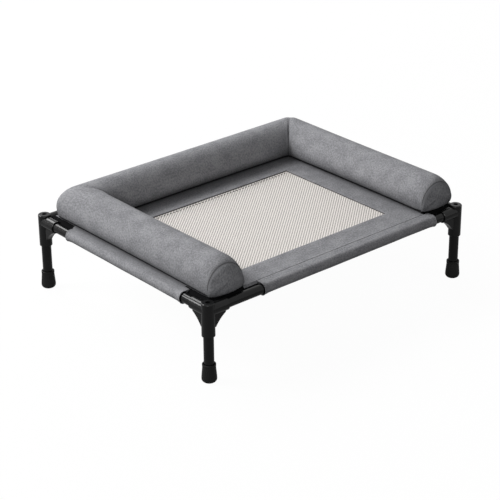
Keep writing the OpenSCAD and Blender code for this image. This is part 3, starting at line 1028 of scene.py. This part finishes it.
def makeMesh(values):
    turn = math.radians(meshLook["angle"])
    along = Vector((math.cos(turn), math.sin(turn), 0.0))
    across = Vector((-math.sin(turn), math.cos(turn), 0.0))
    low, high = meshBox
    corners = [Vector((x, y, 0.0)) for x in (low.x, high.x) for y in (low.y, high.y)]
    stepA = values["alongStep"]
    stepB = meshLook["pitch"] / values["acrossSteps"]
    firstA = math.floor(min(c.dot(along) for c in corners) / stepA)
    lastA = math.ceil(max(c.dot(along) for c in corners) / stepA)
    firstB = math.floor(min(c.dot(across) for c in corners) / stepB)
    lastB = math.ceil(max(c.dot(across) for c in corners) / stepB)
    wide = lastA - firstA + 1
    points = []
    for b in range(firstB, lastB + 1):
        for a in range(firstA, lastA + 1):
            spot = along * (a * stepA) + across * (b * stepB)
            rib = 0.5 + 0.5 * math.sin(2.0 * math.pi * b / values["acrossSteps"])
            ribNumber = math.floor(b / values["acrossSteps"] + 0.25)
            bead = 0.5 + 0.5 * math.sin(2.0 * math.pi * (a * stepA / meshLook["bead"] + 0.5 * ribNumber))
            bulge = rib * 0.75 + rib * bead * 0.25
            spot.z = high.z - values["sink"] + values["rise"] * bulge - values["slack"]
            points.append(spot)
    faces = []
    for b in range(lastB - firstB):
        for a in range(lastA - firstA):
            middle = along * ((firstA + a + 0.5) * stepA) + across * ((firstB + b + 0.5) * stepB)
            if low.x < middle.x < high.x and low.y < middle.y < high.y:
                first = b * wide + a
                faces.append((first, first + 1, first + 1 + wide, first + wide))
    piece = newPiece("meshPanel", points, faces, meshCloth)
    editMesh(piece, (bpy.ops.mesh.delete_loose, {}))
    setWeave(piece, flatPlaces(piece))
    smoothFaces(piece, 80.0)
    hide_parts("mesh_panel")
    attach(piece, "root")


sleeve = {
    "step": 0.007,
    "arcStep": 9.0,
    "flare": 0.0018,
    "flareLong": 0.005,
    "lip": 0.004,
    "hem": 0.011,
    "hemFold": 0.0015,
    "hemRise": 0.0003,
    "ripple": 0.0004,
}


def sleeveSection(cloth, lap):
    # the cloth's middle line about the rail: seam, onto the rail, round it and back under the border
    middle = sleeveR - cloth / 2.0
    seamZ = slingRise - cloth / 2.0
    lapZ = slingRise - 1.5 * cloth
    upper = math.degrees(math.atan2(seamZ, seamInset) + math.acos(middle / math.hypot(seamInset, seamZ)))
    lower = math.degrees(math.atan2(lapZ, seamInset) - math.acos(middle / math.hypot(seamInset, lapZ)))
    rows = [(seamInset, seamZ, 0.0)]
    count = round((360.0 + lower - upper) / sleeve["arcStep"])
    turns = [math.radians(upper + (360.0 + lower - upper) * i / count) for i in range(count + 1)]
    ring = [(middle * math.cos(turn), middle * math.sin(turn), 1.0) for turn in turns]
    for share in (0.12, 0.3, 0.5, 0.7, 0.88):
        inset = seamInset + (ring[0][0] - seamInset) * share
        rows.append((inset, seamZ + (ring[0][1] - seamZ) * share, share))
    rows += ring
    for share in (0.35, 0.7, 1.0):
        inset = ring[-1][0] + (seamInset - ring[-1][0]) * share
        rows.append((inset, ring[-1][1] + (lapZ - ring[-1][1]) * share, 1.0 - share))
    rows.append((seamInset + lap, lapZ, 0.0))
    return rows


def makeSleeve(side, values):
    low, high = sleeveBoxes[side]
    lengthwise = side in ("front", "back")
    start, end = (low.x, high.x) if lengthwise else (low.y, high.y)
    inward = {"front": 1.0, "back": -1.0, "left": 1.0, "right": -1.0}[side]
    line = sleeveSection(sling["cloth"], sling["lap"])
    rows = (0.0, values["hemFold"], values["lip"], values["hem"], values["hem"] + values["hemFold"])
    places = gridLines([start + row for row in rows] + [end - row for row in rows], values["step"])
    points = []
    weave = []
    seed = inward * 7.0 + (3.0 if lengthwise else 9.0)
    for place in places:
        gap = min(place - start, end - place)
        lift = values["flare"] * math.exp(-gap / values["flareLong"])
        lift += values["hemRise"] * (1.0 if gap <= values["hem"] + 0.0001 else 0.0)
        girth = 0.0
        for k, (inset, up, loose) in enumerate(line):
            ripple = noise.noise(Vector((place * 16.0, k * 0.16, seed)))
            shift = loose * (lift + values["ripple"] * ripple)
            radius = math.hypot(inset, up)
            grow = (radius + shift) / radius
            dip = sling["seamDip"] if k == 0 else 0.0
            if k:
                girth += math.dist(line[k][:2], line[k - 1][:2])
            outward = -inward * inset * grow
            z = railZ + up * grow - dip
            if lengthwise:
                points.append((place, -inward * axisY - outward, z))
            else:
                points.append((-inward * axisX - outward, place, z))
            weave.append((place, girth))
    faces = []
    count = len(line)
    for i in range(len(places) - 1):
        for k in range(count - 1):
            first = i * count + k
            faces.append((first, first + 1, first + 1 + count, first + count))
    piece = newPiece("sleeve" + side.capitalize(), points, faces, sleeveCloth)
    setWeave(piece, weave)
    thick = piece.modifiers.new("thick", "SOLIDIFY")
    thick.thickness = sling["cloth"]
    thick.offset = 0.0
    applyAll(piece)
    turnOutwards(piece)
    smoothFaces(piece, 60.0)
    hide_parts("sleeve_" + side)
    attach(piece, "root")


makeBorder(sling)
for sideX in (-1.0, 1.0):
    for sideY in (-1.0, 1.0):
        makeBinding(sideX, sideY, binding)
makeMesh(meshPanel)
for side in sleeveBoxes:
    makeSleeve(side, sleeve)
print("sling made")


# stitches

stitch = {"pitch": 0.0042, "long": 0.0030, "thick": 0.0009}
spindle = {"sides": 6, "rings": ((-0.5, 0.35), (-0.3, 1.0), (0.3, 1.0), (0.5, 0.35))}


def stitchRow(name, path, normals, material, values):
    # one small spindle for each stitch, laid along a path
    points = []
    faces = []
    lengths = [0.0]
    for a, b in zip(path, path[1:]):
        lengths.append(lengths[-1] + (b - a).length)
    count = int(lengths[-1] / values["pitch"])
    segment = 0
    sides = spindle["sides"]
    for i in range(count):
        at = (i + 0.5) * lengths[-1] / count
        while lengths[segment + 1] < at:
            segment += 1
        share = (at - lengths[segment]) / (lengths[segment + 1] - lengths[segment])
        centre = path[segment].lerp(path[segment + 1], share)
        tangent = (path[segment + 1] - path[segment]).normalized()
        normal = normals[segment].lerp(normals[segment + 1], share).normalized()
        across = normal.cross(tangent).normalized()
        first = len(points)
        for t, wide in spindle["rings"]:
            for k in range(sides):
                turn = math.radians(360.0 * k / sides)
                off = across * math.cos(turn) + normal * math.sin(turn)
                points.append(centre + tangent * (t * values["long"]) + off * (wide * values["thick"] / 2.0))
        last = len(points) - sides
        for ring in range(first, last, sides):
            for k in range(sides):
                nextK = (k + 1) % sides
                faces.append((ring + k, ring + nextK, ring + sides + nextK, ring + sides + k))
        faces.append(tuple(first + k for k in reversed(range(sides))))
        faces.append(tuple(last + k for k in range(sides)))
    piece = newPiece(name, points, faces, material)
    smoothFaces(piece, 60.0)
    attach(piece, "root")


capStitch = {
    "back": 0.0042,
    "lowest": 0.012,
    "turns": 60,
    "from": -24.0,            # degrees round the roll
    "over": 228.0,
    "outside": 0.12,
    "seam": {"pitch": 0.002, "long": 0.0024, "thick": 0.0011},
}


def capLine(side, back, values):
    # points round the front end of a side bolster, a little behind its seam
    cover = surfaceOf(bolsterPieces["bolsterCover" + side])
    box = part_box("bolster_cap_" + side.lower())
    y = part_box("bolster_cover_" + side.lower())[0].y + back
    centre = Vector(((box[0].x + box[1].x) / 2.0, y, slingTop + bolster["belly"]))
    path = []
    normals = []
    for i in range(values["turns"] + 1):
        turn = math.radians(values["from"] + values["over"] * i / values["turns"])
        ray = Vector((math.cos(turn), 0.0, math.sin(turn)))
        hit, normal, face, far = cover.ray_cast(centre + ray * values["outside"], -ray)
        if hit and hit.z > slingTop + values["lowest"]:
            path.append(hit + normal * 0.0001)
            normals.append(normal)
    return path, normals


def capStitches(side, values):
    path, normals = capLine(side, values["back"], values)
    stitchRow("capStitches" + side, path, normals, greyThread, stitch)
    path, normals = capLine(side, bolster["capDraw"] + 0.0002, values)
    stitchRow("capSeam" + side, path, normals, capThread, values["seam"])


# stitches on the back edge only, their dark thread painting the shade that falls there
windowShadowStitch = {
    "inside": 0.0090,
    "pitch": 0.0092,
    "long": 0.0050,
    "thick": 0.0018,
    "sides": ("Back",),
}

# a seam round the window, its dark thread also painting the shadow line at the hem's edge
windowSeam = {
    "inside": -0.0001,
    "pitch": 0.0030,
    "long": 0.0036,
    "thick": 0.0020,
    "sides": ("Front", "Right", "Back", "Left"),
}


def windowStitches(start, values):
    inset = values["inside"]
    z = meshBox[1].z + 0.0002
    corners = [
        Vector((window["left"] + inset, window["front"] + inset, z)),
        Vector((window["right"] - inset, window["front"] + inset, z)),
        Vector((window["right"] - inset, window["back"] - inset, z)),
        Vector((window["left"] + inset, window["back"] - inset, z)),
    ]
    up = Vector((0.0, 0.0, 1.0))
    for name, a, b in (("Front", 0, 1), ("Right", 1, 2), ("Back", 2, 3), ("Left", 3, 0)):
        if name in values["sides"]:
            stitchRow(start + name, [corners[a], corners[b]], [up, up], darkThread, values)


capStitches("Left", capStitch)
capStitches("Right", capStitch)
windowStitches("windowStitches", windowShadowStitch)
windowStitches("windowSeam", windowSeam)
print("stitches made")
